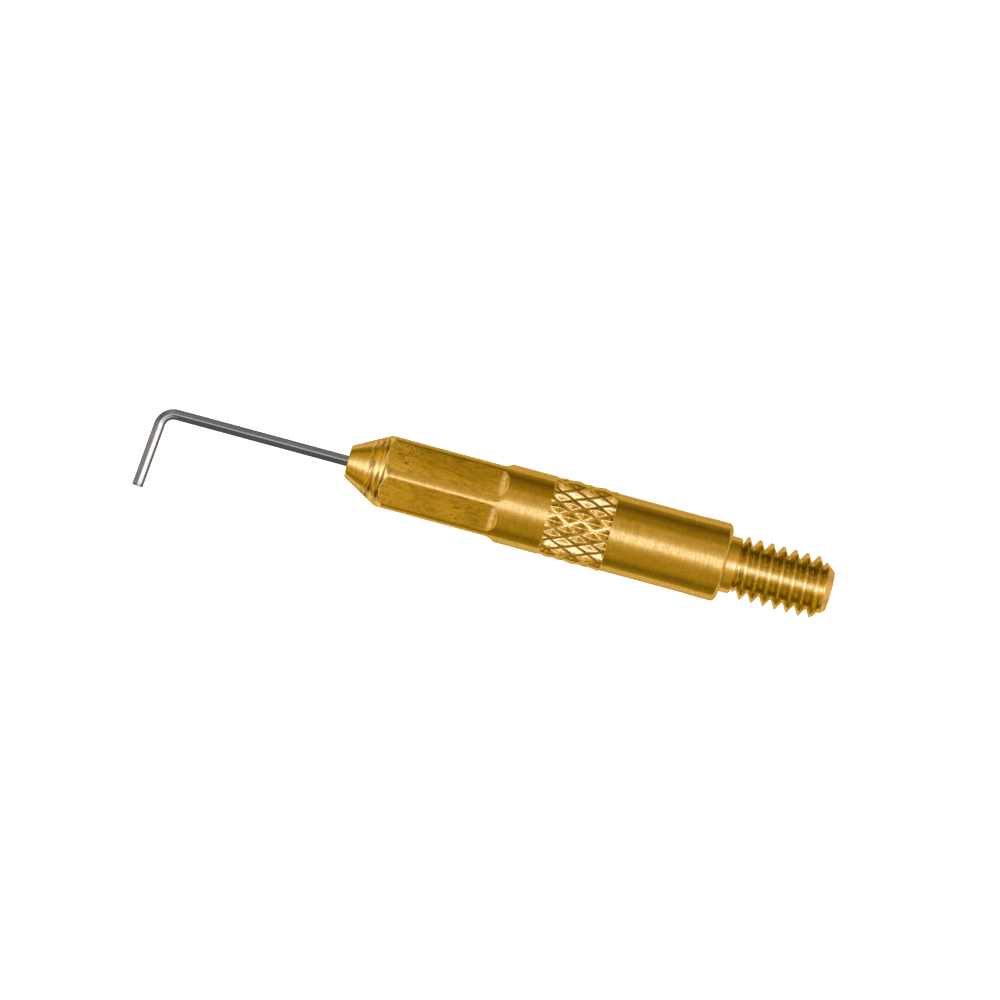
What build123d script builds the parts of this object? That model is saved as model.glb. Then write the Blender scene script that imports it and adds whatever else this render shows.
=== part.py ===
from build123d import *
import math
import os

# A screw-in tool head for watch bracelets: a turned brass holder and a bent hexagonal steel pin.
# Millimetres. The tool axis is X, and +X points to the threaded end that screws into a handle.
# The origin is on the tool axis, in the plane of the shoulder that seats on the handle.
# +Z is up. The pin's short arm lies in the XY plane and points to -Y.

INCH = 25.4

# Holder, along the tool axis from the shoulder at X = 0
NOSE_FACE_X = -25.48
NOSE_FACE_DIAMETER = 2.13
NOSE_HALF_ANGLE = 29.0
BODY_DIAMETER = 5.26
FLATS_REAR_X = -15.70
KNURL_FRONT_X = -12.00
KNURL_RAMP = 1.00
KNURL_REAR_X = -7.82
KNURL_DIAMETER = 5.40
WAIST_DIAMETER = 5.20
WAIST_REAR_X = -2.20
RIM_FRONT_X = -1.40
CROWN_LENGTH = 0.28
CROWN_RADIUS = 0.55
SEAT_DIAMETER = 4.20

# Wrench flats, milled with a round cutter that leaves a concave run-out
ACROSS_FLATS = 3 / 16 * INCH
FLAT_COUNT = 6
RUN_OUT_RADIUS = 1.15

# Neck and relief between the shoulder and the thread
NECK_DIAMETER = 3.75
NECK_LENGTH = 0.65
NECK_CHAMFER = 0.13
RELIEF_END_X = 0.86

# Thread: number 8, 32 threads per inch, right hand, 60 degree form
THREAD_PITCH = INCH / 32
THREAD_MAJOR_DIAMETER = 4.14
THREAD_ROOT_DIAMETER = 3.17
THREAD_CREST_WIDTH = 0.06
THREAD_FLANK_ANGLE = 30.0
THREAD_CREST_X = 1.105
THREAD_CHAMFER_X = 6.15
STUD_END_X = 7.10
STUD_END_DIAMETER = 2.62

# Pin: a 0.028 inch hexagonal key, its flats facing +Y and -Y where it leaves the nose
KEY_ACROSS_FLATS = 0.028 * INCH
KEY_SEATED_LENGTH = 10.0
KEY_CORNER_X = -37.93
KEY_INCLUDED_ANGLE = 94.7
KEY_BEND_RADIUS = 0.95
KEY_TIP_Y = -5.15

# Blind bore in the nose that holds the pin
BORE_CLEARANCE = 0.01
DRILL_POINT_ANGLE = 118.0

# How far cutting tools reach past the stock
MARGIN = 1.0


def turned(points):
    """The solid of revolution about the tool axis under an outline of (x, radius) points."""
    start_x = points[0][0]
    end_x, end_radius = points[-1]
    end_cap = [(end_x, 0)] if end_radius > 0 else []
    outline = [(start_x, 0)] + points + end_cap
    return revolve(make_face(Polyline(outline, close=True)), axis=Axis.X)


def turned_stock():
    """The holder as it leaves the lathe, before threading, milling and drilling."""
    body_radius = BODY_DIAMETER / 2
    nose_radius = NOSE_FACE_DIAMETER / 2
    root_radius = THREAD_ROOT_DIAMETER / 2
    cone_length = (body_radius - nose_radius) / math.tan(math.radians(NOSE_HALF_ANGLE))
    neck_radius = NECK_DIAMETER / 2
    stock = turned(
        [
            (NOSE_FACE_X, nose_radius),
            (NOSE_FACE_X + cone_length, body_radius),
            (KNURL_FRONT_X, body_radius),
            (KNURL_FRONT_X + KNURL_RAMP, KNURL_DIAMETER / 2),
            (KNURL_REAR_X, KNURL_DIAMETER / 2),
            (KNURL_REAR_X, WAIST_DIAMETER / 2),
            (WAIST_REAR_X, WAIST_DIAMETER / 2),
            (RIM_FRONT_X, body_radius),
            (0, body_radius),
            (0, neck_radius),
            (NECK_LENGTH, neck_radius),
            (NECK_LENGTH + NECK_CHAMFER, neck_radius - NECK_CHAMFER),
            (NECK_LENGTH + NECK_CHAMFER, root_radius),
            (thread_chamfer_x(root_radius), root_radius),
            (STUD_END_X, STUD_END_DIAMETER / 2),
        ]
    )
    return stock - shoulder_crown()


def shoulder_crown():
    """What is turned off the rim of the shoulder to leave a crowned end around a narrow flat seat."""
    body_radius = BODY_DIAMETER / 2
    seat_radius = SEAT_DIAMETER / 2
    crown = RadiusArc((-CROWN_LENGTH, body_radius), (0, seat_radius), CROWN_RADIUS)
    waste = Polyline(
        (0, seat_radius),
        (MARGIN, seat_radius),
        (MARGIN, body_radius + MARGIN),
        (-CROWN_LENGTH, body_radius + MARGIN),
        (-CROWN_LENGTH, body_radius),
    )
    return revolve(make_face(crown + waste), axis=Axis.X)


def thread_chamfer_x(radius):
    """The X at which the chamfer on the end of the stud has this radius."""
    major_radius = THREAD_MAJOR_DIAMETER / 2
    end_radius = STUD_END_DIAMETER / 2
    share = (major_radius - radius) / (major_radius - end_radius)
    return THREAD_CHAMFER_X + share * (STUD_END_X - THREAD_CHAMFER_X)


def thread_ridge():
    """The helical ridge of the thread, trimmed by the relief groove and by the end chamfer."""
    major_radius = THREAD_MAJOR_DIAMETER / 2
    root_radius = THREAD_ROOT_DIAMETER / 2
    buried_radius = root_radius - 0.03
    flank = math.tan(math.radians(THREAD_FLANK_ANGLE))
    crest_half = THREAD_CREST_WIDTH / 2
    base_half = crest_half + (major_radius - buried_radius) * flank

    # The sweep starts on the -Z side, a quarter turn before the crest that faces +Y
    start_x = THREAD_CREST_X - 1.25 * THREAD_PITCH
    helix = Helix(THREAD_PITCH, STUD_END_X + THREAD_PITCH - start_x, root_radius)
    section = make_face(
        Polyline(
            (buried_radius, 0, -base_half),
            (major_radius, 0, -crest_half),
            (major_radius, 0, crest_half),
            (buried_radius, 0, base_half),
            close=True,
        )
    )
    ridge = sweep(section, path=helix, is_frenet=True)
    ridge = Pos(start_x, 0, 0) * Rot(0, 90, 0) * ridge

    envelope = turned(
        [
            (RELIEF_END_X, major_radius + MARGIN),
            (thread_chamfer_x(major_radius + MARGIN), major_radius + MARGIN),
            (STUD_END_X, STUD_END_DIAMETER / 2),
        ]
    )
    return ridge & envelope


def wrench_flat_cutters():
    """Six cutters that leave the flats of a hexagon, each rising along a concave arc at its rear."""
    half_width = BODY_DIAMETER
    flat_height = ACROSS_FLATS / 2
    arc_centre_height = flat_height + RUN_OUT_RADIUS
    front_x = NOSE_FACE_X - MARGIN
    side = make_face(
        Line((front_x, flat_height), (FLATS_REAR_X, flat_height))
        + RadiusArc(
            (FLATS_REAR_X, flat_height),
            (FLATS_REAR_X + RUN_OUT_RADIUS, arc_centre_height),
            -RUN_OUT_RADIUS,
        )
        + Polyline(
            (FLATS_REAR_X + RUN_OUT_RADIUS, arc_centre_height),
            (front_x, arc_centre_height),
            (front_x, flat_height),
        )
    )
    cutter = extrude(side, amount=half_width, dir=(0, 0, 1), both=True)
    step = 360 / FLAT_COUNT
    return [Rot(index * step, 0, 0) * cutter for index in range(FLAT_COUNT)]


def bore_radius():
    """The bore clears the corners of the hexagonal key."""
    return KEY_ACROSS_FLATS / 2 / math.cos(math.pi / 6) + BORE_CLEARANCE


def bore_floor_x():
    """Where the drill's full diameter ends and its point begins."""
    seat = BORE_CLEARANCE / math.tan(math.radians(DRILL_POINT_ANGLE / 2))
    return NOSE_FACE_X + KEY_SEATED_LENGTH - seat


def pin_bore():
    """The blind drilled hole, with the cone that the drill point leaves at its bottom."""
    point_length = bore_radius() / math.tan(math.radians(DRILL_POINT_ANGLE / 2))
    return turned(
        [
            (NOSE_FACE_X - MARGIN, bore_radius()),
            (bore_floor_x(), bore_radius()),
            (bore_floor_x() + point_length, 0),
        ]
    )


def brass_holder():
    """The brass holder: coned nose, hexagon, knurled grip, waist, shoulder and threaded stud."""
    holder = turned_stock() + thread_ridge()
    for cutter in wrench_flat_cutters():
        holder -= cutter
    return holder - pin_bore()


def hook_pin():
    """The bent hexagonal key: seated arm, round bend and short hook."""
    turn = 180 - KEY_INCLUDED_ANGLE
    corner_to_bend = KEY_BEND_RADIUS * math.tan(math.radians(turn / 2))
    bend_start_x = KEY_CORNER_X + corner_to_bend
    seated_end_x = NOSE_FACE_X + KEY_SEATED_LENGTH
    hook_direction = Vector(-math.cos(math.radians(turn)), -math.sin(math.radians(turn)), 0)
    corner = Vector(KEY_CORNER_X, 0, 0)
    bend_end = corner + hook_direction * corner_to_bend
    hook_length = (bend_end.Y - KEY_TIP_Y) / -hook_direction.Y

    # The section faces -X at the start of the bend, with two corners on the Z axis
    section_plane = Plane(origin=(bend_start_x, 0, 0), x_dir=(0, 0, 1), z_dir=(-1, 0, 0))
    corner_radius = KEY_ACROSS_FLATS / 2 / math.cos(math.pi / 6)
    section = section_plane * RegularPolygon(corner_radius, 6)
    arm = extrude(section, amount=-(seated_end_x - bend_start_x))

    bend_axis = Axis((bend_start_x, -KEY_BEND_RADIUS, 0), (0, 0, 1))
    bend = revolve(section, axis=bend_axis, revolution_arc=turn)
    hook_section = section.rotate(bend_axis, turn)
    hook = extrude(hook_section, amount=hook_length, dir=hook_direction)
    return arm + bend + hook


NODES = {
    "brass_holder": brass_holder,
    "hook_pin": hook_pin,
}

os.makedirs("parts", exist_ok=True)
for node_name, build_node in NODES.items():
    solid = build_node()
    solid.label = node_name
    export_step(solid, f"parts/{node_name}.step")
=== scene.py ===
import math

import bpy
import numpy as np
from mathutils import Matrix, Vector, noise


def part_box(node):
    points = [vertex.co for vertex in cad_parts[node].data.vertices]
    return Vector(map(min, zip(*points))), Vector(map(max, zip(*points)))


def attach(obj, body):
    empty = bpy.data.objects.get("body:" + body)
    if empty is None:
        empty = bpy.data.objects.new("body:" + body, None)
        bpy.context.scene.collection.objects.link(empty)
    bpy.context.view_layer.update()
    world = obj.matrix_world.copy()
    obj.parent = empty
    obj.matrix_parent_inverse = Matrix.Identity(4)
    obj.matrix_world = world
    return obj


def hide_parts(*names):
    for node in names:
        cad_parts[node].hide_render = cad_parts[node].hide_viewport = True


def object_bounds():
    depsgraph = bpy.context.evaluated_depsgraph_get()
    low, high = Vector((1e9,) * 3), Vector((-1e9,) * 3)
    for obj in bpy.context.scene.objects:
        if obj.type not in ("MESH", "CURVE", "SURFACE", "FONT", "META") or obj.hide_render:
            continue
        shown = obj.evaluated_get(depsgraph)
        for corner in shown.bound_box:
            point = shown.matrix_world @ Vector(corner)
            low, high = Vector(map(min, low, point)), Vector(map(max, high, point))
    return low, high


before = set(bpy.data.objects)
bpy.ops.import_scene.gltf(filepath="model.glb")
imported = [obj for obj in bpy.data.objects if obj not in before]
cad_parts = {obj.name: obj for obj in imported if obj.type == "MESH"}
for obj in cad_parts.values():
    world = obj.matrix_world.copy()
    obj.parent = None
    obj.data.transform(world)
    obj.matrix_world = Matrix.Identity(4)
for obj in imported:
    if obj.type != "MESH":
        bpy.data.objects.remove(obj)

cad_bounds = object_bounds()

# Everything below is worked out in millimetres and written to Blender in metres.
# The tool axis is X, +X points to the threaded end, and the origin is at the shoulder seat.
# An angle around the axis is measured from +Y towards +Z.
MM = 0.001
INCH = 25.4

holder_low, holder_high = (np.array(corner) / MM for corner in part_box("brass_holder"))
pin_low, pin_high = (np.array(corner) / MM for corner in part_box("hook_pin"))

# Holder
NOSE_X = holder_low[0]
STUD_END_X = holder_high[0]
NOSE_RADIUS = 1.065
NOSE_HALF_ANGLE = math.radians(29)
BODY_RADIUS = 2.63
WAIST_RADIUS = 2.60
CONE_END_X = NOSE_X + (BODY_RADIUS - NOSE_RADIUS) / math.tan(NOSE_HALF_ANGLE)
FLAT_HEIGHT = 3 / 32 * INCH
FLATS_REAR_X = -15.70
RUN_OUT_RADIUS = 1.15
RUN_OUT_END_X = FLATS_REAR_X + 0.72
FLAT_ROUNDING = 0.03
# The flats are numbered from 0, which faces +Y, towards +Z. How far each lies outside its exact
# place, and how much further back it ends
FLAT_PROUD = (0.0, 0.045, 0.045, 0.0, 0.012, -0.010)
FLAT_EXTRA_LENGTH = (0.0, 0.06, -0.10, 0.0, 0.03, -0.05)
# The corner between flat 1 and flat 2 is rubbed down on the side of flat 1. The rubbed face points
# this way, lies this much higher than the flat and is blended in over this distance
WORN_FLAT = 1
WORN_ANGLE = math.radians(70)
WORN_REGION = (math.radians(45), math.radians(115.2))
WORN_RISE = 0.042
WORN_ROUNDING = 0.12
KNURL_FRONT_X = -12.05
KNURL_REAR_X = -7.82
WAIST_REAR_X = -2.20
RIM_FRONT_X = -1.40
CROWN_LENGTH = 0.28
CROWN_RADIUS = 0.55
SEAT_RADIUS = 2.10

# Knurl: grooves in two hands, in a pattern that has a crossing of grooves at the given place. The
# tops of the diamonds stay a little inside the CAD's plain band
KNURL_RADIUS = holder_high[2] - 0.01
KNURL_STARTS = 17
KNURL_HELIX_ANGLE = math.radians(30)
KNURL_PITCH = 2 * math.pi * KNURL_RADIUS / KNURL_STARTS
KNURL_LEAD = KNURL_PITCH / math.tan(KNURL_HELIX_ANGLE)
KNURL_CROSSING_X = -8.006
KNURL_CROSSING_ANGLE = math.radians(85.5)
# Columns of faces from one groove to the next
KNURL_CELLS = 16
KNURL_RAGGEDNESS = 0.008
# Slope of a diamond's side by how far out from its middle, 0 in the middle and 1 in the groove
KNURL_SIDE = ((0.0, 0.15), (0.12, 0.45), (0.26, 0.95), (0.84, 0.95), (0.91, 0.06), (1.0, 0.0))

# Stud
NECK_RADIUS = 1.875
NECK_LENGTH = 0.65
NECK_CHAMFER = 0.13
THREAD_START_X = 0.86
THREAD_PITCH = INCH / 32
THREAD_MAJOR_RADIUS = 2.07
THREAD_ROOT_RADIUS = 1.555
THREAD_CREST_HALF = 0.055
THREAD_CREST_X = 1.105
THREAD_CHAMFER_X = 6.15
# How steeply the first crest may rise, so that the thread starts without an upright wall
THREAD_START_SLOPE = 3
STUD_END_RADIUS = 1.31
# The stud's end face has a small bevel, this long
STUD_END_BEVEL = 0.02

# Pin
KEY_FLAT = 0.014 * INCH
KEY_CORNER = KEY_FLAT / math.cos(math.pi / 6)
KEY_INCLUDED_ANGLE = 94.7
KEY_BEND_RADIUS = 0.95
KEY_CORNER_X = -37.93
KEY_TIP_Y = -5.15
KEY_CORNER_ROUND = 0.09
KEY_BEVEL = 0.02
# How much bending flattens the section and thickens its inner side
KEY_BEND_SQUASH = 0.04
BORE_RADIUS = KEY_CORNER + 0.01
BORE_FLOOR_X = pin_high[0]
DRILL_POINT_HALF_ANGLE = math.radians(59)

# Light by its angle around the tool's axis, from 0 straight up to 180 straight down, positive
# towards +Y: a long lamp overhead, softer light beside it, a dark band near the horizon on both
# sides, and the bright table below
STUDIO_LIGHT = (
    (-180, 0.66), (-150, 0.72), (-138, 0.82), (-121, 0.88), (-115, 0.42), (-108, 0.33), (-98, 0.27),
    (-88, 0.19), (-82, 0.28), (-72, 0.47), (-58, 0.52), (-42, 0.51), (-30, 0.60), (-20, 0.78),
    (-13, 1.15), (-6, 1.45), (2, 1.40), (8, 1.08), (14, 0.76), (30, 0.58), (40, 0.61), (46, 0.50),
    (56, 0.36), (70, 0.32), (78, 0.22), (88, 0.11), (96, 0.19), (104, 0.34), (113, 0.38),
    (119, 0.78), (135, 0.72), (180, 0.66),
)
STUDIO_STRENGTH = 1.15

# How many columns of faces go around each stretch of the holder
BODY_COLUMNS = 348
STUD_COLUMNS = 174
BORE_COLUMNS = 58


class Skin:
    """A closed mesh grown ring by ring, with the faces turned outwards when the outline runs from
    the bore's floor forwards, over the nose and back along the outside to the stud's end."""

    def __init__(self):
        self.points = []
        self.faces = []
        self.last = None
        self.last_turn = 0.0

    def add_points(self, coords):
        first = len(self.points)
        self.points.extend(coords)
        return list(range(first, len(self.points)))

    def ring(self, x, radius, columns, turn=0.0):
        """A ring of that many columns, its first point turned by a part of a column. x and radius
        may be numbers or one value per column."""
        angle = (np.arange(columns) + turn) * 2 * math.pi / columns
        x = np.broadcast_to(x, angle.shape)
        radius = np.broadcast_to(radius, angle.shape)
        coords = np.stack([x, radius * np.cos(angle), radius * np.sin(angle)], axis=1)
        indices = self.add_points(coords.tolist())
        if self.last is not None:
            self.join(indices, turn)
        self.last, self.last_turn = indices, turn
        return indices

    def point(self, x):
        """A point on the axis, which closes the skin at either end."""
        indices = self.add_points([[x, 0.0, 0.0]])
        if self.last is not None:
            self.join(indices, 0.0)
        self.last, self.last_turn = indices, 0.0

    def join(self, high, high_turn):
        """Faces between the last ring and the next one, either of which may be a single point."""
        low, low_turn = self.last, self.last_turn
        count_low, count_high = len(low), len(high)
        if count_low == count_high and low_turn == high_turn:
            for k in range(count_low):
                after = (k + 1) % count_low
                self.faces.append((low[k], low[after], high[after], high[k]))
            return
        i = j = 0
        steps_low = count_low if count_low > 1 else 0
        steps_high = count_high if count_high > 1 else 0
        while i < steps_low or j < steps_high:
            low_place = (i + 0.5 + low_turn) / count_low if i < steps_low else 2.0
            high_place = (j + 0.5 + high_turn) / count_high if j < steps_high else 2.0
            here_low, here_high = low[i % count_low], high[j % count_high]
            if low_place <= high_place:
                self.faces.append((here_low, low[(i + 1) % count_low], here_high))
                i += 1
            else:
                self.faces.append((here_low, high[(j + 1) % count_high], here_high))
                j += 1


def steps(start, end, size):
    """Evenly spaced values from start to end, both included, about size apart."""
    return np.linspace(start, end, max(2, int(round(abs(end - start) / size)) + 1))


def rough_noise(x, y, z, scale):
    """Smooth noise between about -1 and 1 that repeats on every run, for features 1 / scale wide."""
    return noise.noise(Vector((x * scale, y * scale, z * scale)))


def smooth_step(low, high, value):
    t = np.clip((value - low) / (high - low), 0, 1)
    return t * t * (3 - 2 * t)


# ---------------------------------------------------------------- the holder's shape

# Stands for no limit on a radius, in millimetres
BEYOND_THE_METAL = 10.0


def turned_radius(x):
    """The radius that the lathe left at this place on the holder, before knurling and milling."""
    places = [NOSE_X, CONE_END_X, KNURL_REAR_X - 0.02, KNURL_REAR_X, WAIST_REAR_X, RIM_FRONT_X, 0]
    radii = [NOSE_RADIUS, BODY_RADIUS, BODY_RADIUS, WAIST_RADIUS, WAIST_RADIUS, BODY_RADIUS, BODY_RADIUS]
    return float(np.interp(x, places, radii))


def flat_limit(x, flat):
    """How far from the axis a milled flat leaves the metal at this place."""
    level = FLAT_HEIGHT + FLAT_PROUD[flat]
    rise = x - FLATS_REAR_X - FLAT_EXTRA_LENGTH[flat]
    if rise <= 0:
        return level
    if rise >= RUN_OUT_RADIUS:
        return BEYOND_THE_METAL
    return level + RUN_OUT_RADIUS - math.sqrt(RUN_OUT_RADIUS ** 2 - rise ** 2)


def flat_unevenness(x, angle):
    """The slight waves that milling left in the flats."""
    y, z = 2.4 * math.cos(angle), 2.4 * math.sin(angle)
    broad = rough_noise(x * 0.7, y, z, 0.9)
    fine = rough_noise(x + 9, y, z, 2.6)
    return 0.007 * broad + 0.0018 * fine


def milled_ring(x, columns):
    """The radius of every column where the six flats cut the turned bar."""
    turned = turned_radius(x)
    radii = []
    for k in range(columns):
        angle = 2 * math.pi * k / columns
        flat = int(angle / (math.pi / 3) + 0.5) % 6
        from_middle = (angle + math.pi / 6) % (math.pi / 3) - math.pi / 6
        limit = flat_limit(x, flat)
        if limit > turned + 0.2:
            radii.append(turned)
            continue
        cut = (limit + flat_unevenness(x, angle)) / math.cos(from_middle)
        overlap = max(FLAT_ROUNDING - abs(cut - turned), 0) / FLAT_ROUNDING
        radius = min(cut, turned) - overlap ** 2 * FLAT_ROUNDING / 4
        if WORN_REGION[0] < angle < WORN_REGION[1]:
            worn_limit = limit + WORN_RISE + 0.4 * flat_unevenness(x + 5, angle)
            rubbed = worn_limit / math.cos(angle - WORN_ANGLE)
            overlap = max(WORN_ROUNDING - abs(rubbed - radius), 0) / WORN_ROUNDING
            radius = min(rubbed, radius) - overlap ** 2 * WORN_ROUNDING / 4
        radii.append(radius)
    return np.array(radii)


# The depth below a diamond's top, in half widths, added up from the slopes
KNURL_ACROSS = np.linspace(0, 1, 101)
KNURL_SLOPES = np.interp(KNURL_ACROSS, *zip(*KNURL_SIDE))
KNURL_DROPS = (KNURL_SLOPES[1:] + KNURL_SLOPES[:-1]) / 2 * 0.01
KNURL_DEPTHS = np.concatenate([[0.0], np.cumsum(KNURL_DROPS)])


def knurl_radius(x, angle):
    """The radius in the knurled band and how far the place is from the middle of its diamond, 0 to 1.
    The diamonds are low pyramids with blunt tops, and the grooves between them have flat floors.
    The rolls pressed unevenly: less on the two sides that face +Y and -Y, and with wider floors on
    the upper and lower sides."""
    around = (angle - KNURL_CROSSING_ANGLE) * KNURL_STARTS / (2 * math.pi)
    along = (x - KNURL_CROSSING_X) / KNURL_LEAD
    first = abs(((around + along) % 1.0) * 2 - 1)
    second = abs(((around - along) % 1.0) * 2 - 1)
    across = max(first, second)
    half_width = KNURL_PITCH / 2 * math.cos(KNURL_HELIX_ANGLE)
    started = float(smooth_step(KNURL_FRONT_X - 0.3, KNURL_FRONT_X + 0.5, x))
    ramp = float(smooth_step(KNURL_FRONT_X, KNURL_FRONT_X + 0.9, x))
    crest = BODY_RADIUS + (KNURL_RADIUS - BODY_RADIUS) * ramp
    y, z = 2.7 * math.cos(angle), 2.7 * math.sin(angle)
    across = across - 0.14 * rough_noise(x, y, z, 0.9) * (1 - across)
    across = min(1.0, across * (1 + 0.24 * float(smooth_step(0.80, 0.97, abs(math.sin(angle))))))
    ragged = KNURL_RAGGEDNESS * rough_noise(x + 4, y, z, 4.0) - 0.005
    pressed = 1 - 0.62 * float(smooth_step(0.72, 0.95, abs(math.cos(angle))))
    depth = float(np.interp(across, KNURL_ACROSS, KNURL_DEPTHS)) * half_width * pressed
    return crest + (ragged - depth) * started, across


def add_knurl(skin, grooves):
    """The knurled band, on a lattice that follows both sets of grooves, so that the bottom of every
    groove lies along edges of the mesh."""
    columns = KNURL_STARTS * KNURL_CELLS
    step = KNURL_LEAD / (2 * KNURL_CELLS)
    column = 2 * math.pi / columns
    phase = (KNURL_CROSSING_ANGLE / column) % 1.0
    first = math.ceil((KNURL_FRONT_X + 0.04 - KNURL_CROSSING_X) / step)
    last = math.floor((KNURL_REAR_X - 0.015 - KNURL_CROSSING_X) / step)
    skin.ring(KNURL_FRONT_X, BODY_RADIUS, columns, phase)
    for layer in range(first, last + 1):
        x = KNURL_CROSSING_X + layer * step
        turn = (phase + layer % 2 / 2) % 1.0
        values = [knurl_radius(x, (k + turn) * column) for k in range(columns)]
        radius = np.array([value[0] for value in values])
        if layer == first:
            skin.ring(x - 0.012, radius, columns, turn)
        for index, value in zip(skin.ring(x, radius, columns, turn), values):
            grooves[index] = value[1]
    skin.ring(x + 0.008, radius, columns, turn)
    skin.ring(KNURL_REAR_X, WAIST_RADIUS, columns, turn)


def thread_radius(offset):
    """The thread's radius this far along the axis from the middle of a crest."""
    away = np.abs(offset)
    flank = THREAD_MAJOR_RADIUS - np.maximum(0, away - THREAD_CREST_HALF) * math.tan(math.radians(60))
    return max(float(flank), THREAD_ROOT_RADIUS)


def chamfer_radius(x):
    """The radius that the chamfer on the stud's end allows at this place."""
    share = (x - THREAD_CHAMFER_X) / (STUD_END_X - STUD_END_BEVEL - THREAD_CHAMFER_X)
    return THREAD_MAJOR_RADIUS - share * (THREAD_MAJOR_RADIUS - STUD_END_RADIUS)


def add_thread(skin):
    """Rows that follow the helix, trimmed by the relief at the neck and by the end chamfer."""
    thread_end_x = STUD_END_X - STUD_END_BEVEL
    half = [0.0, 0.03, 0.055, 0.08, 0.13, 0.19, 0.25, 0.31, 0.352]
    offsets = [-o for o in reversed(half[1:])] + half + [THREAD_PITCH / 2]
    turns = range(-2, int((STUD_END_X - THREAD_CREST_X) / THREAD_PITCH) + 2)
    rows = []
    for turn in turns:
        for offset in offsets:
            row = []
            for k in range(STUD_COLUMNS + 1):
                angle = 2 * math.pi * k / STUD_COLUMNS
                x = THREAD_CREST_X + THREAD_PITCH * (turn + k / STUD_COLUMNS) + offset
                radius = thread_radius(offset)
                if x <= THREAD_START_X:
                    x, radius = THREAD_START_X, THREAD_ROOT_RADIUS
                elif x >= thread_end_x:
                    x, radius = thread_end_x, STUD_END_RADIUS
                start_radius = THREAD_ROOT_RADIUS + THREAD_START_SLOPE * (x - THREAD_START_X)
                radius = min(radius, chamfer_radius(x), start_radius)
                row.append([x, radius * math.cos(angle), radius * math.sin(angle)])
            rows.append(skin.add_points(row))
    for low, high in zip(rows, rows[1:]):
        for k in range(STUD_COLUMNS):
            skin.faces.append((low[k], low[k + 1], high[k + 1], high[k]))


def rounded(point):
    """A place as a key that stays the same when two points are merged."""
    return tuple(round(value, 5) for value in point)


def merged(points, faces):
    """The same mesh with points at one place made one, and faces that then have no area left out."""
    keys = {}
    new_index = []
    kept_points = []
    for point in points:
        key = rounded(point)
        if key not in keys:
            keys[key] = len(kept_points)
            kept_points.append(point)
        new_index.append(keys[key])
    kept_faces = []
    for face in faces:
        corners = []
        for index in (new_index[i] for i in face):
            if index not in corners:
                corners.append(index)
        if len(corners) >= 3:
            kept_faces.append(corners)
    return kept_points, kept_faces


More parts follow.
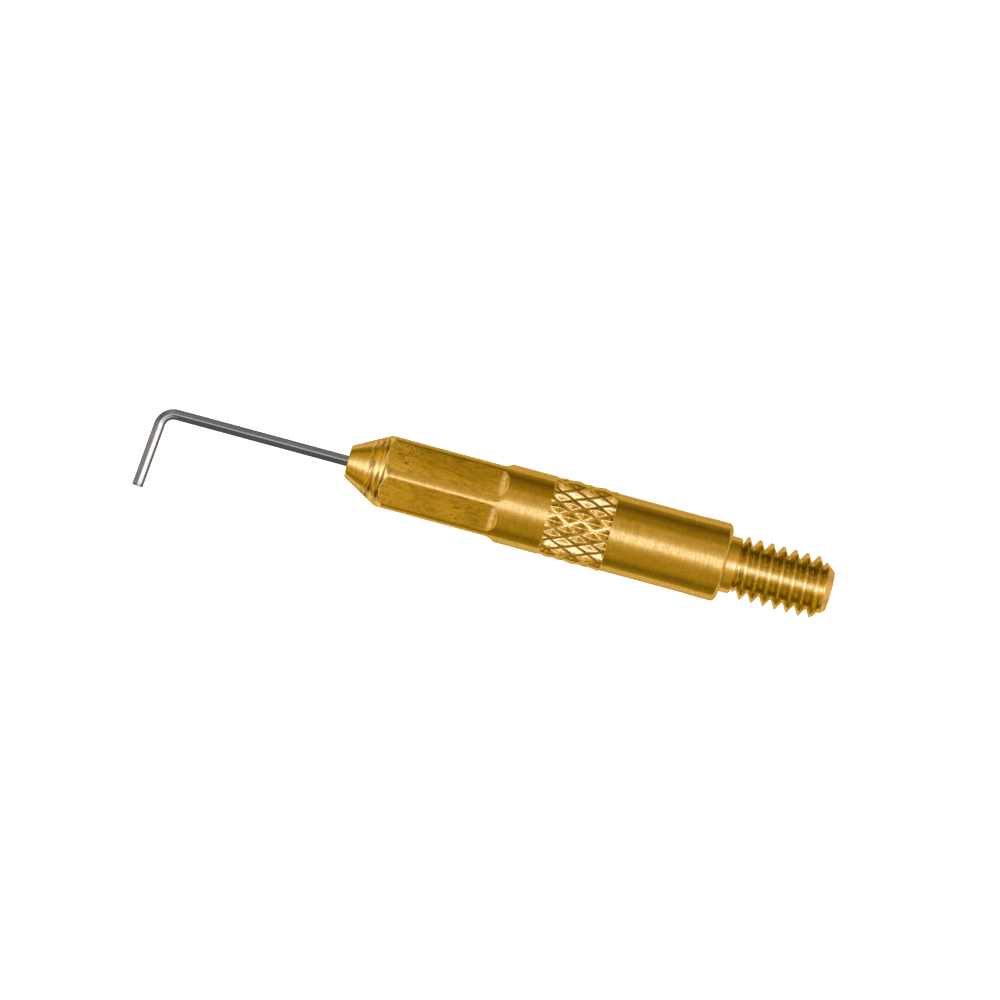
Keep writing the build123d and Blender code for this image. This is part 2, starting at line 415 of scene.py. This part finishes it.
def holder_skin():
    skin = Skin()
    grooves = {}
    point_length = BORE_RADIUS / math.tan(DRILL_POINT_HALF_ANGLE)
    skin.point(BORE_FLOOR_X + point_length)
    for x in steps(BORE_FLOOR_X, NOSE_X + 0.03, 0.5):
        skin.ring(x, BORE_RADIUS, BORE_COLUMNS)
    skin.ring(NOSE_X + 0.006, BORE_RADIUS + 0.006, BORE_COLUMNS)
    skin.ring(NOSE_X, BORE_RADIUS + 0.02, BORE_COLUMNS)

    # The nose face, its slightly rounded edge, the cone, the flats and the barrel
    skin.ring(NOSE_X, NOSE_RADIUS - 0.15, BODY_COLUMNS)
    skin.ring(NOSE_X, NOSE_RADIUS - 0.03, BODY_COLUMNS)
    skin.ring(NOSE_X + 0.007, NOSE_RADIUS - 0.008, BODY_COLUMNS)
    front = np.concatenate([
        steps(NOSE_X + 0.03, CONE_END_X - 0.75, 0.12),
        steps(CONE_END_X - 0.70, CONE_END_X + 0.03, 0.04),
        steps(CONE_END_X + 0.18, FLATS_REAR_X - 0.14, 0.22),
        steps(FLATS_REAR_X - 0.10, RUN_OUT_END_X + 0.06, 0.036),
        steps(RUN_OUT_END_X + 0.1, KNURL_FRONT_X - 0.03, 0.5),
    ])
    for x in front:
        skin.ring(x, milled_ring(x, BODY_COLUMNS), BODY_COLUMNS)
    add_knurl(skin, grooves)

    # The waist and the rim
    for x in (KNURL_REAR_X + 0.01, KNURL_REAR_X + 0.05, KNURL_REAR_X + 0.3):
        skin.ring(x, WAIST_RADIUS, BODY_COLUMNS)
    for x in steps(KNURL_REAR_X + 1, WAIST_REAR_X, 1.0):
        skin.ring(x, WAIST_RADIUS, BODY_COLUMNS)
    for x in steps(WAIST_REAR_X + 0.2, -CROWN_LENGTH - 0.012, 0.2):
        skin.ring(x, turned_radius(x), BODY_COLUMNS)

    # The crowned rim of the shoulder, an arc with a crease where it leaves the barrel
    crown_start = Vector((-CROWN_LENGTH, BODY_RADIUS))
    crown_end = Vector((0.0, SEAT_RADIUS))
    chord = crown_end - crown_start
    inward = Vector((chord.y, -chord.x)).normalized()
    centre = (crown_start + crown_end) / 2 + inward * math.sqrt(CROWN_RADIUS ** 2 - (chord.length / 2) ** 2)
    start_angle = math.atan2(crown_start.y - centre.y, crown_start.x - centre.x)
    end_angle = math.atan2(crown_end.y - centre.y, crown_end.x - centre.x)
    for angle in np.linspace(start_angle, end_angle, 9):
        x = centre.x + CROWN_RADIUS * math.cos(angle)
        radius = centre.y + CROWN_RADIUS * math.sin(angle)
        skin.ring(x, radius, BODY_COLUMNS)

    # The neck
    for x, radius in (
        (0, NECK_RADIUS + 0.05),
        (0, NECK_RADIUS + 0.01),
        (0.01, NECK_RADIUS),
        (0.025, NECK_RADIUS),
        (0.06, NECK_RADIUS),
        (NECK_LENGTH - 0.05, NECK_RADIUS),
        (NECK_LENGTH - 0.015, NECK_RADIUS),
        (NECK_LENGTH + 0.005, NECK_RADIUS - 0.008),
        (NECK_LENGTH + NECK_CHAMFER - 0.01, NECK_RADIUS - NECK_CHAMFER + 0.01),
        (NECK_LENGTH + NECK_CHAMFER, NECK_RADIUS - NECK_CHAMFER - 0.01),
        (NECK_LENGTH + NECK_CHAMFER + 0.01, THREAD_ROOT_RADIUS + 0.01),
        (THREAD_START_X, THREAD_ROOT_RADIUS),
    ):
        skin.ring(x, radius, STUD_COLUMNS)
    add_thread(skin)

    # The stud's end face, with the small step that parting off leaves in its middle
    skin.last = None
    skin.ring(STUD_END_X - STUD_END_BEVEL, STUD_END_RADIUS, STUD_COLUMNS)
    skin.ring(STUD_END_X - 0.005, STUD_END_RADIUS - 0.02, STUD_COLUMNS)
    skin.ring(STUD_END_X, STUD_END_RADIUS - 0.05, STUD_COLUMNS)
    skin.ring(STUD_END_X, STUD_END_RADIUS - 0.08, STUD_COLUMNS)
    skin.ring(STUD_END_X, 0.7, BORE_COLUMNS)
    skin.ring(STUD_END_X - 0.012, 0.25, BORE_COLUMNS)
    skin.ring(STUD_END_X - 0.03, 0.12, BORE_COLUMNS)
    skin.point(STUD_END_X - 0.03)
    return skin, grooves


def mesh_object(name, points, faces):
    """A smooth-shaded mesh object from points in millimetres."""
    mesh = bpy.data.meshes.new(name)
    mesh.from_pydata([(x * MM, y * MM, z * MM) for x, y, z in points], [], faces)
    mesh.validate()
    mesh.shade_smooth()
    piece = bpy.data.objects.new(name, mesh)
    bpy.context.scene.collection.objects.link(piece)
    return piece


def store(mesh, name, values):
    """Keeps one number per point for the materials to read."""
    attribute = mesh.attributes.new(name, "FLOAT", "POINT")
    attribute.data.foreach_set("value", np.asarray(values, dtype=np.float32))


def brass_holder():
    """The holder with three numbers per point: milled or not, rubbed down or not, and how far the
    place is from the middle of its diamond in the knurl."""
    skin, grooves = holder_skin()
    points, faces = merged(skin.points, skin.faces)
    piece = mesh_object("turned_holder", points, faces)
    groove_at = {rounded(skin.points[index]): value for index, value in grooves.items()}
    xyz = np.array(points)
    distance = np.hypot(xyz[:, 1], xyz[:, 2])
    angle = np.arctan2(xyz[:, 2], xyz[:, 1])
    from_flat = (angle + math.pi / 6) % (math.pi / 3) - math.pi / 6
    flat = np.floor(angle / (math.pi / 3) + 0.5).astype(int) % 6
    limit = np.array([flat_limit(x, number) for x, number in zip(xyz[:, 0], flat)])
    turned = np.array([turned_radius(x) for x in xyz[:, 0]])
    outside = distance > NOSE_RADIUS * 0.98
    milled = outside & (limit / np.cos(from_flat) < turned + 0.01) & (xyz[:, 0] < RUN_OUT_END_X + 0.1)
    rubbed_limit = (limit + WORN_RISE) / np.cos(angle - WORN_ANGLE)
    rubbed = milled & (flat == WORN_FLAT) & (from_flat > 0) & (rubbed_limit < limit / np.cos(from_flat))
    store(piece.data, "milled", milled)
    store(piece.data, "rubbed", rubbed & (rubbed_limit < turned))
    store(piece.data, "groove", [groove_at.get(rounded(point), 0.0) for point in points])
    return piece


# ---------------------------------------------------------------- the pin's shape

def key_section():
    """The hexagon with slightly rounded corners, as (towards the inside of the bend, up) pairs, with
    a corner at the top and at the bottom."""
    outline = []
    centre = KEY_CORNER - KEY_CORNER_ROUND / math.cos(math.pi / 6)
    for corner in range(6):
        middle = 90 + 60 * corner
        for part in (-30, -15, 0, 15, 30):
            turn = math.radians(middle + part)
            across = centre * math.cos(math.radians(middle)) + KEY_CORNER_ROUND * math.cos(turn)
            up = centre * math.sin(math.radians(middle)) + KEY_CORNER_ROUND * math.sin(turn)
            outline.append((across, up))
    return outline


def pin_path():
    """Places along the pin's middle line from its seat to its tip, as (x, y, heading in degrees,
    length so far, how far into the bend 0 to 1)."""
    turn = 180 - KEY_INCLUDED_ANGLE
    bend_start = KEY_CORNER_X + KEY_BEND_RADIUS * math.tan(math.radians(turn / 2))
    path = [(x, 0.0, 0.0, BORE_FLOOR_X - x, 0.0) for x in steps(BORE_FLOOR_X, bend_start + 0.05, 0.4)]
    bend_length = BORE_FLOOR_X - bend_start
    for angle in steps(0, turn, 3):
        swing = math.radians(angle)
        x = bend_start - KEY_BEND_RADIUS * math.sin(swing)
        y = -KEY_BEND_RADIUS * (1 - math.cos(swing))
        path.append((x, y, angle, bend_length + KEY_BEND_RADIUS * swing, math.sin(math.pi * angle / turn)))
    end_x, end_y, _, end_length, _ = path[-1]
    swing = math.radians(turn)
    for along in steps(0.2, (end_y - KEY_TIP_Y) / math.sin(swing), 0.3):
        x = end_x - along * math.cos(swing)
        y = end_y - along * math.sin(swing)
        path.append((x, y, turn, end_length + along, 0.0))
    return path


def hook_pin():
    """The bent key. The seat end has a small bevel, and the tip is cut square with a slight bevel."""
    path = pin_path()
    # Each place has a shift along the pin and a size of the section
    places = [(path[0], 0.0, 0.94), (path[0], KEY_BEVEL, 1.0)]
    places += [(place, 0.0, 1.0) for place in path[1:-1]]
    places += [(path[-1], -KEY_BEVEL, 1.0), (path[-1], 0.0, 0.96)]
    points, faces, rings = [], [], []
    along, across_values, up_values = [], [], []
    for (x, y, heading, length, bent), shift, size in places:
        swing = math.radians(heading)
        ahead = (-math.cos(swing), -math.sin(swing))
        side = (math.sin(swing), -math.cos(swing))
        ring = []
        for across, up in key_section():
            offset = across * size * (1 - KEY_BEND_SQUASH * bent)
            height = up * size * (1 + KEY_BEND_SQUASH * bent * (1 if across > 0 else -0.5))
            ring.append(len(points))
            points.append((
                x + shift * ahead[0] + offset * side[0],
                y + shift * ahead[1] + offset * side[1],
                height,
            ))
            along.append(length)
            across_values.append(across)
            up_values.append(up)
        rings.append(ring)
    for low, high in zip(rings, rings[1:]):
        for k in range(len(low)):
            after = (k + 1) % len(low)
            faces.append((low[k], high[k], high[after], low[after]))
    faces.append(tuple(rings[0]))
    faces.append(tuple(reversed(rings[-1])))
    piece = mesh_object("hook_key", points, faces)
    store(piece.data, "along", along)
    store(piece.data, "across", across_values)
    store(piece.data, "up", up_values)
    return piece


# ---------------------------------------------------------------- materials

class Nodes:
    """Short calls for building a node tree."""

    def __init__(self, tree):
        self.tree = tree
        self.tree.nodes.clear()

    def node(self, kind, **settings):
        made = self.tree.nodes.new(kind)
        for key, value in settings.items():
            setattr(made, key, value)
        return made

    def link(self, value, socket):
        """Puts a number, a colour or another node's output into a socket."""
        if isinstance(value, bpy.types.NodeSocket):
            self.tree.links.new(value, socket)
        else:
            socket.default_value = value

    def math(self, operation, first, second=0.0):
        made = self.node("ShaderNodeMath", operation=operation)
        self.link(first, made.inputs[0])
        self.link(second, made.inputs[1])
        return made.outputs[0]

    def add(self, *values):
        total = values[0]
        for value in values[1:]:
            total = self.math("ADD", total, value)
        return total

    def times(self, *values):
        total = values[0]
        for value in values[1:]:
            total = self.math("MULTIPLY", total, value)
        return total

    def range(self, value, low, high, to_low=0.0, to_high=1.0):
        """Moves a value from one range to another, smoothly and with both ends held."""
        made = self.node("ShaderNodeMapRange", interpolation_type="SMOOTHSTEP")
        for index, item in enumerate((value, low, high, to_low, to_high)):
            self.link(item, made.inputs[index])
        return made.outputs[0]

    def line(self, value, low, high):
        """0 at low and 1 at high, in a straight line between them and held outside them."""
        made = self.node("ShaderNodeMapRange")
        for index, item in enumerate((value, low, high, 0.0, 1.0)):
            self.link(item, made.inputs[index])
        return made.outputs[0]

    def mix(self, factor, first, second):
        """From the first colour at 0 to the second at 1."""
        made = self.node("ShaderNodeMix", data_type="RGBA")
        for index, item in ((0, factor), (6, first), (7, second)):
            self.link(item, made.inputs[index])
        return made.outputs[2]

    def blend(self, factor, first, second):
        """From the first number at 0 to the second at 1."""
        made = self.node("ShaderNodeMix", data_type="FLOAT")
        for index, item in ((0, factor), (2, first), (3, second)):
            self.link(item, made.inputs[index])
        return made.outputs[0]

    def shade(self, colour, level):
        """A colour made lighter or darker."""
        made = self.node("ShaderNodeVectorMath", operation="SCALE")
        self.link(colour, made.inputs[0])
        self.link(level, made.inputs["Scale"])
        return made.outputs[0]

    def vector(self, x, y, z):
        made = self.node("ShaderNodeCombineXYZ")
        for index, item in enumerate((x, y, z)):
            self.link(item, made.inputs[index])
        return made.outputs[0]

    def split(self, vector):
        made = self.node("ShaderNodeSeparateXYZ")
        self.link(vector, made.inputs[0])
        return made.outputs[0], made.outputs[1], made.outputs[2]

    def noise(self, place, scale, detail=2.0, roughness=0.5, distortion=0.0):
        """Noise around 0.5 with features about 1 / scale wide."""
        made = self.node("ShaderNodeTexNoise")
        self.link(place, made.inputs["Vector"])
        made.inputs["Scale"].default_value = scale
        made.inputs["Detail"].default_value = detail
        made.inputs["Roughness"].default_value = roughness
        made.inputs["Distortion"].default_value = distortion
        return made.outputs["Fac"]

    def centred(self, value):
        """A noise value of 0 to 1 made to swing about 0, so that a mark that starts has no step."""
        return self.math("SUBTRACT", value, 0.5)

    def attribute(self, name):
        return self.node("ShaderNodeAttribute", attribute_name=name).outputs["Fac"]

    def place(self):
        """The place on the object in millimetres."""
        scaled = self.node("ShaderNodeVectorMath", operation="SCALE")
        self.link(self.node("ShaderNodeTexCoord").outputs["Object"], scaled.inputs[0])
        scaled.inputs["Scale"].default_value = 1 / MM
        return scaled.outputs[0]

    def near(self, place, centre, radius):
        """1 near a place, falling smoothly to 0 at the given distance."""
        made = self.node("ShaderNodeVectorMath", operation="DISTANCE")
        self.link(place, made.inputs[0])
        made.inputs[1].default_value = centre
        return self.range(made.outputs["Value"], radius * 0.3, radius, 1.0, 0.0)

    def bump(self, height):
        """The surface's normal once it has this height in micrometres."""
        made = self.node("ShaderNodeBump")
        made.inputs["Strength"].default_value = 1.0
        made.inputs["Distance"].default_value = 1e-6
        self.link(height, made.inputs["Height"])
        return made.outputs[0]

    def surface(self, normal, **inputs):
        made = self.node("ShaderNodeBsdfPrincipled")
        for name, value in inputs.items():
            self.link(value, made.inputs[name.replace("_", " ")])
        self.link(normal, made.inputs["Normal"])
        self.link(made.outputs[0], self.node("ShaderNodeOutputMaterial").inputs["Surface"])


def new_material(name):
    material = bpy.data.materials.new(name)
    material.use_nodes = True
    return material, Nodes(material.node_tree)


def studio_level(s, direction):
    """How bright the studio is in a direction. It follows the angle around the tool's axis and grows
    a little towards the nose. The lamp overhead is wider at the two ends of the tool, a bright
    screen stands beyond the threaded end, and there is a small window on each side of the nose."""
    x, y, z = s.split(direction)
    around = s.math("DEGREES", s.math("ARCTAN2", y, z))
    overhead = s.range(s.math("ABSOLUTE", around), 50, 110, 1.0, 0.0)
    around = s.times(around, s.add(1.0, s.times(s.math("ABSOLUTE", x), overhead, -0.5)))
    ramp = s.node("ShaderNodeValToRGB")
    s.link(s.add(s.times(around, 1 / 360), 0.5), ramp.inputs[0])
    while len(ramp.color_ramp.elements) < len(STUDIO_LIGHT):
        ramp.color_ramp.elements.new(0.5)
    for element, (degrees, level) in zip(ramp.color_ramp.elements, STUDIO_LIGHT):
        element.position = degrees / 360 + 0.5
        # The ramp holds half the level, because its colours stop at 1
        element.color = (level / 2, level / 2, level / 2, 1)
    towards_nose = s.add(1.0, s.times(s.math("MAXIMUM", s.times(x, -1.0), 0.0), 0.22))
    around_level = s.times(ramp.outputs[0], 2.0, towards_nose)
    towards_window = s.add(s.times(x, -0.50), s.times(s.math("ABSOLUTE", y), 0.78), s.times(z, 0.37))
    windows = s.times(s.range(towards_window, 0.93, 0.985), 0.5)
    towards_screen = s.range(x, 0.84, 0.97)
    return s.blend(towards_screen, s.add(around_level, windows), 0.85)


def mirrored(s, incoming, normal):
    """The direction that a surface mirrors towards the eye."""
    reflect = s.node("ShaderNodeVectorMath", operation="REFLECT")
    s.link(s.shade(incoming, -1.0), reflect.inputs[0])
    s.link(normal, reflect.inputs[1])
    return reflect.outputs[0]


# Brass colours: plain gold, a deeper gold for random patches, and a paler and a nearly white gold that are
# painted where the mirrored studio is bright, as painted highlights
GOLD = (0.80, 0.40, 0.014, 1)
DEEP_GOLD = (0.75, 0.368, 0.009, 1)
PAINTED_HIGHLIGHT_GOLD = (0.86, 0.575, 0.225, 1)
PAINTED_GLINT_GOLD = (0.93, 0.76, 0.52, 1)
# Painted reflection: paler colours that brass shows only where other brass mirrors it
GOLD_AGAIN = (0.66, 0.67, 0.58, 1)
PALE_GOLD_AGAIN = (1.0, 0.94, 0.86, 1)
KNURL_AGAIN = (0.72, 0.66, 0.50, 1)
GRAZING_GOLD = (1.0, 0.80, 0.42, 1)

# Scuffed places on the flats, each with its radius
SCUFFS = (
    ((-18.0, -1.55, 1.95), 0.95),
    ((-21.6, 1.3, 2.1), 1.1),
    ((-15.6, 1.2, 2.3), 0.7),
)
THREAD_SHADE_END = (6.5, 6.75)
CHAMFER_SHADE_START = (6.6, 6.75)


def brass():
    """Brass that was turned, milled, knurled and threaded, with masks for where each was done."""
    material, s = new_material("turned_brass")
    place = s.place()
    x, y, z = s.split(place)
    milled = s.attribute("milled")
    groove = s.attribute("groove")
    rubbed = s.attribute("rubbed")
    thread = s.times(s.range(x, NECK_LENGTH, NECK_LENGTH + 0.05), s.range(x, *THREAD_SHADE_END, 1.0, 0.0))
    stud = s.range(x, 0.0, 0.05)
    knurl = s.times(
        s.range(x, KNURL_FRONT_X - 0.02, KNURL_FRONT_X + 0.02),
        s.range(x, KNURL_REAR_X - 0.01, KNURL_REAR_X + 0.01, 1.0, 0.0),
    )
    turned = s.math("SUBTRACT", 1.0, s.math("MAXIMUM", milled, knurl))
    cone_base = s.times(
        s.range(x, CONE_END_X - 1.75, CONE_END_X - 1.25),
        s.range(x, CONE_END_X - 0.05, CONE_END_X + 0.15, 1.0, 0.0),
        turned,
    )

    # Tool marks of the lathe are fine rings that break up on the way around
    rings = s.noise(s.vector(s.times(x, 6.5), s.times(y, 0.9), s.times(z, 0.9)), 1.0, 3.0, 0.65)
    # At the base of the cone the tool chattered and left coarse rings
    coarse = s.noise(s.vector(s.times(x, 4.6), s.times(y, 0.55), s.times(z, 0.55)), 1.0, 3.0, 0.6, 0.5)
    # The milling cutter left a mottled surface, worst where it entered at the front
    mottle = s.noise(s.vector(s.times(x, 0.75), y, z), 3.4, 3.0, 0.62, 0.9)
    slanted = s.times(s.add(y, s.times(x, 0.2)), 3.0)
    streaks = s.noise(s.vector(s.times(x, 0.5), slanted, s.times(z, 3.0)), 1.0, 3.0, 0.6)
    grain = s.noise(s.vector(s.times(x, 1.6), s.times(y, 4.0), s.times(z, 4.0)), 1.0, 3.0, 0.7, 0.6)
    speckle = s.noise(place, 7.5, 2.0, 0.6)
    patches = s.noise(place, 0.55, 2.0, 0.5)
    rough_front = s.range(x, CONE_END_X + 0.5, CONE_END_X + 2.2, 1.0, 0.0)
    worn = 0.0
    for centre, radius in SCUFFS:
        worn = s.math("MAXIMUM", worn, s.near(place, centre, radius))
    run_out = s.times(
        milled,
        s.range(x, FLATS_REAR_X, FLATS_REAR_X + 0.15),
        s.range(x, RUN_OUT_END_X - 0.3, RUN_OUT_END_X, 1.0, 0.0),
    )
    scuffed = s.times(milled, s.math("MAXIMUM", worn, rough_front))
    chamfer = s.range(x, *CHAMFER_SHADE_START)
    mottled = s.times(milled, s.add(0.35, s.times(rough_front, 0.65), s.times(worn, 0.6)))

    # The marks' heights in micrometres
    height = s.add(
        s.times(s.centred(rings), turned, s.blend(stud, 8.0, 2.5)),
        s.times(s.centred(coarse), cone_base, 46.0),
        s.times(s.centred(mottle), mottled, 22.0),
        s.times(s.centred(grain), s.add(s.times(milled, 8.0), s.times(scuffed, 20.0))),
        s.times(s.centred(streaks), milled, 11.0),
        s.times(
            s.centred(speckle),
            s.add(
                1.5,
                s.times(scuffed, 12.0),
                s.times(run_out, 18.0),
                s.times(rubbed, 12.0),
                s.times(knurl, 20.0),
                s.times(stud, 4.0),
            ),
        ),
    )
    bump = s.bump(height)

    # Painted highlight and painted shade: the colour is made paler where the studio seen in the mirrored
    # direction is bright, and the thread darker where it is dim. On the thread, where light bounces between
    # the flanks, the barrel's own roundness decides what is reflected.
    incoming = s.node("ShaderNodeNewGeometry").outputs["Incoming"]
    barrel_normal = s.node("ShaderNodeVectorMath", operation="NORMALIZE")
    s.link(s.vector(0.0, y, z), barrel_normal.inputs[0])
    seen = s.blend(
        thread,
        studio_level(s, mirrored(s, incoming, bump)),
        studio_level(s, mirrored(s, incoming, barrel_normal.outputs[0])),
    )
    # The painted change of colour is left out where the surface is turned away by about a quarter.
    # The exported model's colour is taken at that angle, so it stays the plain gold from every
    # side.
    facing = s.node("ShaderNodeLayerWeight")
    facing.inputs["Blend"].default_value = 0.5
    turned_away = facing.outputs["Facing"]
    ahead = s.add(
        s.range(turned_away, 0.17, 0.22, 1.0, 0.0),
        s.times(s.range(turned_away, 0.28, 0.34), s.range(turned_away, 0.72, 0.88, 1.0, 0.0)),
    )
    # Painted highlight: how much paler the gold is made, from the mirrored studio's brightness, and by a
    # fixed share on the stud's end chamfer
    pale = s.math("MAXIMUM", s.times(s.line(seen, 0.50, 1.20), ahead), s.times(chamfer, 0.45))
    gold = s.mix(patches, GOLD, DEEP_GOLD)
    gold = s.mix(pale, gold, PAINTED_HIGHLIGHT_GOLD)
    sharp = s.math("MAXIMUM", knurl, stud)
    # Painted glint: on the knurl and the stud the gold goes nearly white where the mirrored studio is
    # brightest
    painted_glint = s.times(s.line(seen, 1.0, 1.6), ahead, sharp)
    gold = s.mix(painted_glint, gold, PAINTED_GLINT_GOLD)

    # How much lighter or darker each mark makes the metal, with painted shade and painted glints among the
    # terms
    painted_thread_shade = s.math("SUBTRACT", s.line(seen, 0.25, 0.75), 1.0)
    level = s.add(
        1.0,
        # The lathe rings, painted with more contrast inside the painted highlight
        s.times(s.centred(rings), turned, s.blend(pale, 0.40, 1.0)),
        s.times(s.math("SUBTRACT", coarse, 0.52), cone_base, 4.2),
        s.times(s.centred(mottle), s.add(s.times(mottled, 2.2), s.times(turned, 0.5))),
        s.times(s.centred(grain), s.add(s.times(milled, 1.1), s.times(scuffed, 1.2))),
        s.times(s.centred(streaks), milled, 0.6),
        s.times(s.centred(patches), milled, 0.8),
        s.times(s.centred(speckle), s.add(0.4, s.times(worn, milled, 1.5), s.times(knurl, 0.9))),
        s.times(milled, 0.04),
        s.times(scuffed, 0.36),
        s.times(rubbed, 0.06),
        s.times(sharp, 0.15),
        # Painted shade in the floors of the knurl's grooves, left out where the painted highlight is
        s.times(s.range(groove, 0.84, 0.92), knurl, -0.25, s.math("SUBTRACT", 1.0, pale)),
        # Painted shade: the thread is darker where it mirrors a dim part of the studio
        s.times(thread, ahead, painted_thread_shade, 0.65),
        # Painted glints: specks on the thread made lighter
        s.times(thread, ahead, s.range(speckle, 0.55, 0.65), 0.5),
    )
    level = s.math("MAXIMUM", 0.2, s.math("MINIMUM", level, 1.25))
    colour = s.shade(gold, level)
    # Painted reflection: where brass is seen mirrored in other brass it takes these paler colours instead
    # of its own, so that light bounced between the flanks and grooves comes back less red
    again = s.mix(pale, GOLD_AGAIN, PALE_GOLD_AGAIN)
    again = s.mix(knurl, again, KNURL_AGAIN)
    colour = s.mix(s.node("ShaderNodeLightPath").outputs["Is Glossy Ray"], colour, again)
    roughness = s.add(
        s.blend(milled, 0.22, 0.29),
        s.times(knurl, -0.04),
        s.times(stud, s.blend(thread, 0.08, -0.01)),
        s.times(rubbed, 0.05),
        s.times(s.math("SUBTRACT", mottle, 0.45), mottled, 0.4),
    )
    s.surface(
        bump,
        Base_Color=colour,
        Metallic=1.0,
        Roughness=roughness,
        Specular_Tint=GRAZING_GOLD,
    )
    return material


STEEL = (0.44, 0.428, 0.42, 1)
LIGHT_STEEL = (0.55, 0.537, 0.528, 1)
# The colour of the painted shade on the wire
PAINTED_SHADE_STEEL = (0.105, 0.088, 0.078, 1)
# Where along the pin, from its seat, the bend starts and ends
BEND_ALONG = (21.3, 22.3)


def key_steel():
    """Drawn steel wire with lines along it, painted shade on some of its sides and painted highlights along
    its top corner and on the inner side of the hook.
    """
    material, s = new_material("key_steel")
    place = s.place()
    along, across, up = s.attribute("along"), s.attribute("across"), s.attribute("up")
    in_hook = s.range(along, *BEND_ALONG)
    inner = s.range(across, -0.05, 0.05)
    # Drawing lines run along the wire
    along_wire = s.vector(s.times(along, 0.35), s.times(across, 14.0), s.times(up, 14.0))
    lines = s.noise(along_wire, 1.0, 3.0, 0.6)
    specks = s.noise(place, 8.0, 3.0, 0.65)
    patches = s.noise(place, 1.3, 2.0, 0.5)
    # Painted shade: the wire is darkened a little on the outer side of the long arm and strongly on its
    # inner side and on the outer side of the hook. On the inner side of the hook it is left off near the
    # middle of the section and put on beyond that.
    grey = s.mix(patches, STEEL, LIGHT_STEEL)
    painted_shade = s.blend(
        in_hook,
        s.blend(inner, 0.14, 0.80),
        s.blend(inner, 0.80, s.range(across, 0.19, 0.27, 0.0, 0.92)),
    )
    colour = s.mix(painted_shade, grey, PAINTED_SHADE_STEEL)
    # Painted highlight along the top corner of the wire, and painted light on the inner side of the hook
    # next to the middle of the section
    painted_ridge_highlight = s.times(s.range(s.math("ABSOLUTE", across), 0.0, 0.07, 1.0, 0.0), s.range(up, 0.2, 0.35))
    painted_lit_side = s.times(in_hook, s.range(across, 0.0, 0.06), s.range(across, 0.19, 0.25, 1.0, 0.0))
    level = s.add(
        0.88,
        s.times(s.centred(lines), 0.9),
        s.times(s.centred(specks), 0.7),
        s.times(painted_ridge_highlight, 0.8),
        s.times(painted_lit_side, 0.7),
    )
    height = s.add(s.times(lines, 2.2), s.times(specks, 1.6))
    roughness = s.add(0.15, s.times(specks, 0.16))
    s.surface(s.bump(height), Base_Color=s.shade(colour, level), Metallic=1.0, Roughness=roughness)
    return material


# ---------------------------------------------------------------- the pieces

holder = brass_holder()
holder.data.materials.append(brass())
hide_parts("brass_holder")
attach(holder, "root")

pin = hook_pin()
pin.data.materials.append(key_steel())
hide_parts("hook_pin")
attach(pin, "root")


# ---------------------------------------------------------------- floor, light and camera

def floor():
    """A pale table top. What metal sees below the horizon comes from the studio instead."""
    size = 3.0
    corners = [(-size, -size, 0), (size, -size, 0), (size, size, 0), (-size, size, 0)]
    mesh = bpy.data.meshes.new("floor")
    mesh.from_pydata(corners, [], [(0, 1, 2, 3)])
    table = bpy.data.objects.new("floor", mesh)
    table.location.z = cad_bounds[0][2] - 0.02 * MM
    bpy.context.scene.collection.objects.link(table)
    material, s = new_material("floor")
    diffuse = s.node("ShaderNodeBsdfDiffuse")
    diffuse.inputs["Color"].default_value = (0.85, 0.85, 0.84, 1)
    glow = s.node("ShaderNodeEmission")
    s.link(s.times(s.node("ShaderNodeLightPath").outputs["Is Camera Ray"], 0.98), glow.inputs["Strength"])
    both = s.node("ShaderNodeAddShader")
    s.link(diffuse.outputs[0], both.inputs[0])
    s.link(glow.outputs[0], both.inputs[1])
    s.link(both.outputs[0], s.node("ShaderNodeOutputMaterial").inputs["Surface"])
    mesh.materials.append(material)
    table.visible_glossy = False
    table.visible_shadow = False


def studio():
    """The world's light. The camera sees plain white where it sees past the table."""
    world = bpy.data.worlds.new("studio")
    bpy.context.scene.world = world
    world.use_nodes = True
    s = Nodes(world.node_tree)
    direction = s.node("ShaderNodeTexCoord").outputs["Generated"]
    # Small differences from place to place, which let fine marks in the metal show
    uneven = s.noise(direction, 7.0, 2.0, 0.6)
    level = s.times(studio_level(s, direction), s.range(uneven, 0.3, 0.7, 0.72, 1.28), STUDIO_STRENGTH)
    seen = s.node("ShaderNodeLightPath").outputs["Is Camera Ray"]
    background = s.node("ShaderNodeBackground")
    s.link(s.blend(seen, level, 1.0), background.inputs["Strength"])
    s.link(background.outputs[0], s.node("ShaderNodeOutputWorld").inputs["Surface"])


def camera():
    """Straight above the tool, turned so that the threaded end lies lower right in the picture."""
    aim_x, aim_y = -15.25, 0.144
    picture_width = 65.3
    distance = 275.0
    sensor = 36.0
    data = bpy.data.cameras.new("camera")
    data.sensor_width = sensor
    data.lens = sensor * distance / picture_width
    data.clip_start = 0.01
    data.clip_end = 10
    view = bpy.data.objects.new("camera", data)
    view.location = (aim_x * MM, aim_y * MM, distance * MM)
    view.rotation_euler = (0, 0, math.radians(15.15))
    bpy.context.scene.collection.objects.link(view)
    bpy.context.scene.camera = view


floor()
studio()
camera()
bpy.context.scene.view_settings.view_transform = "Standard"
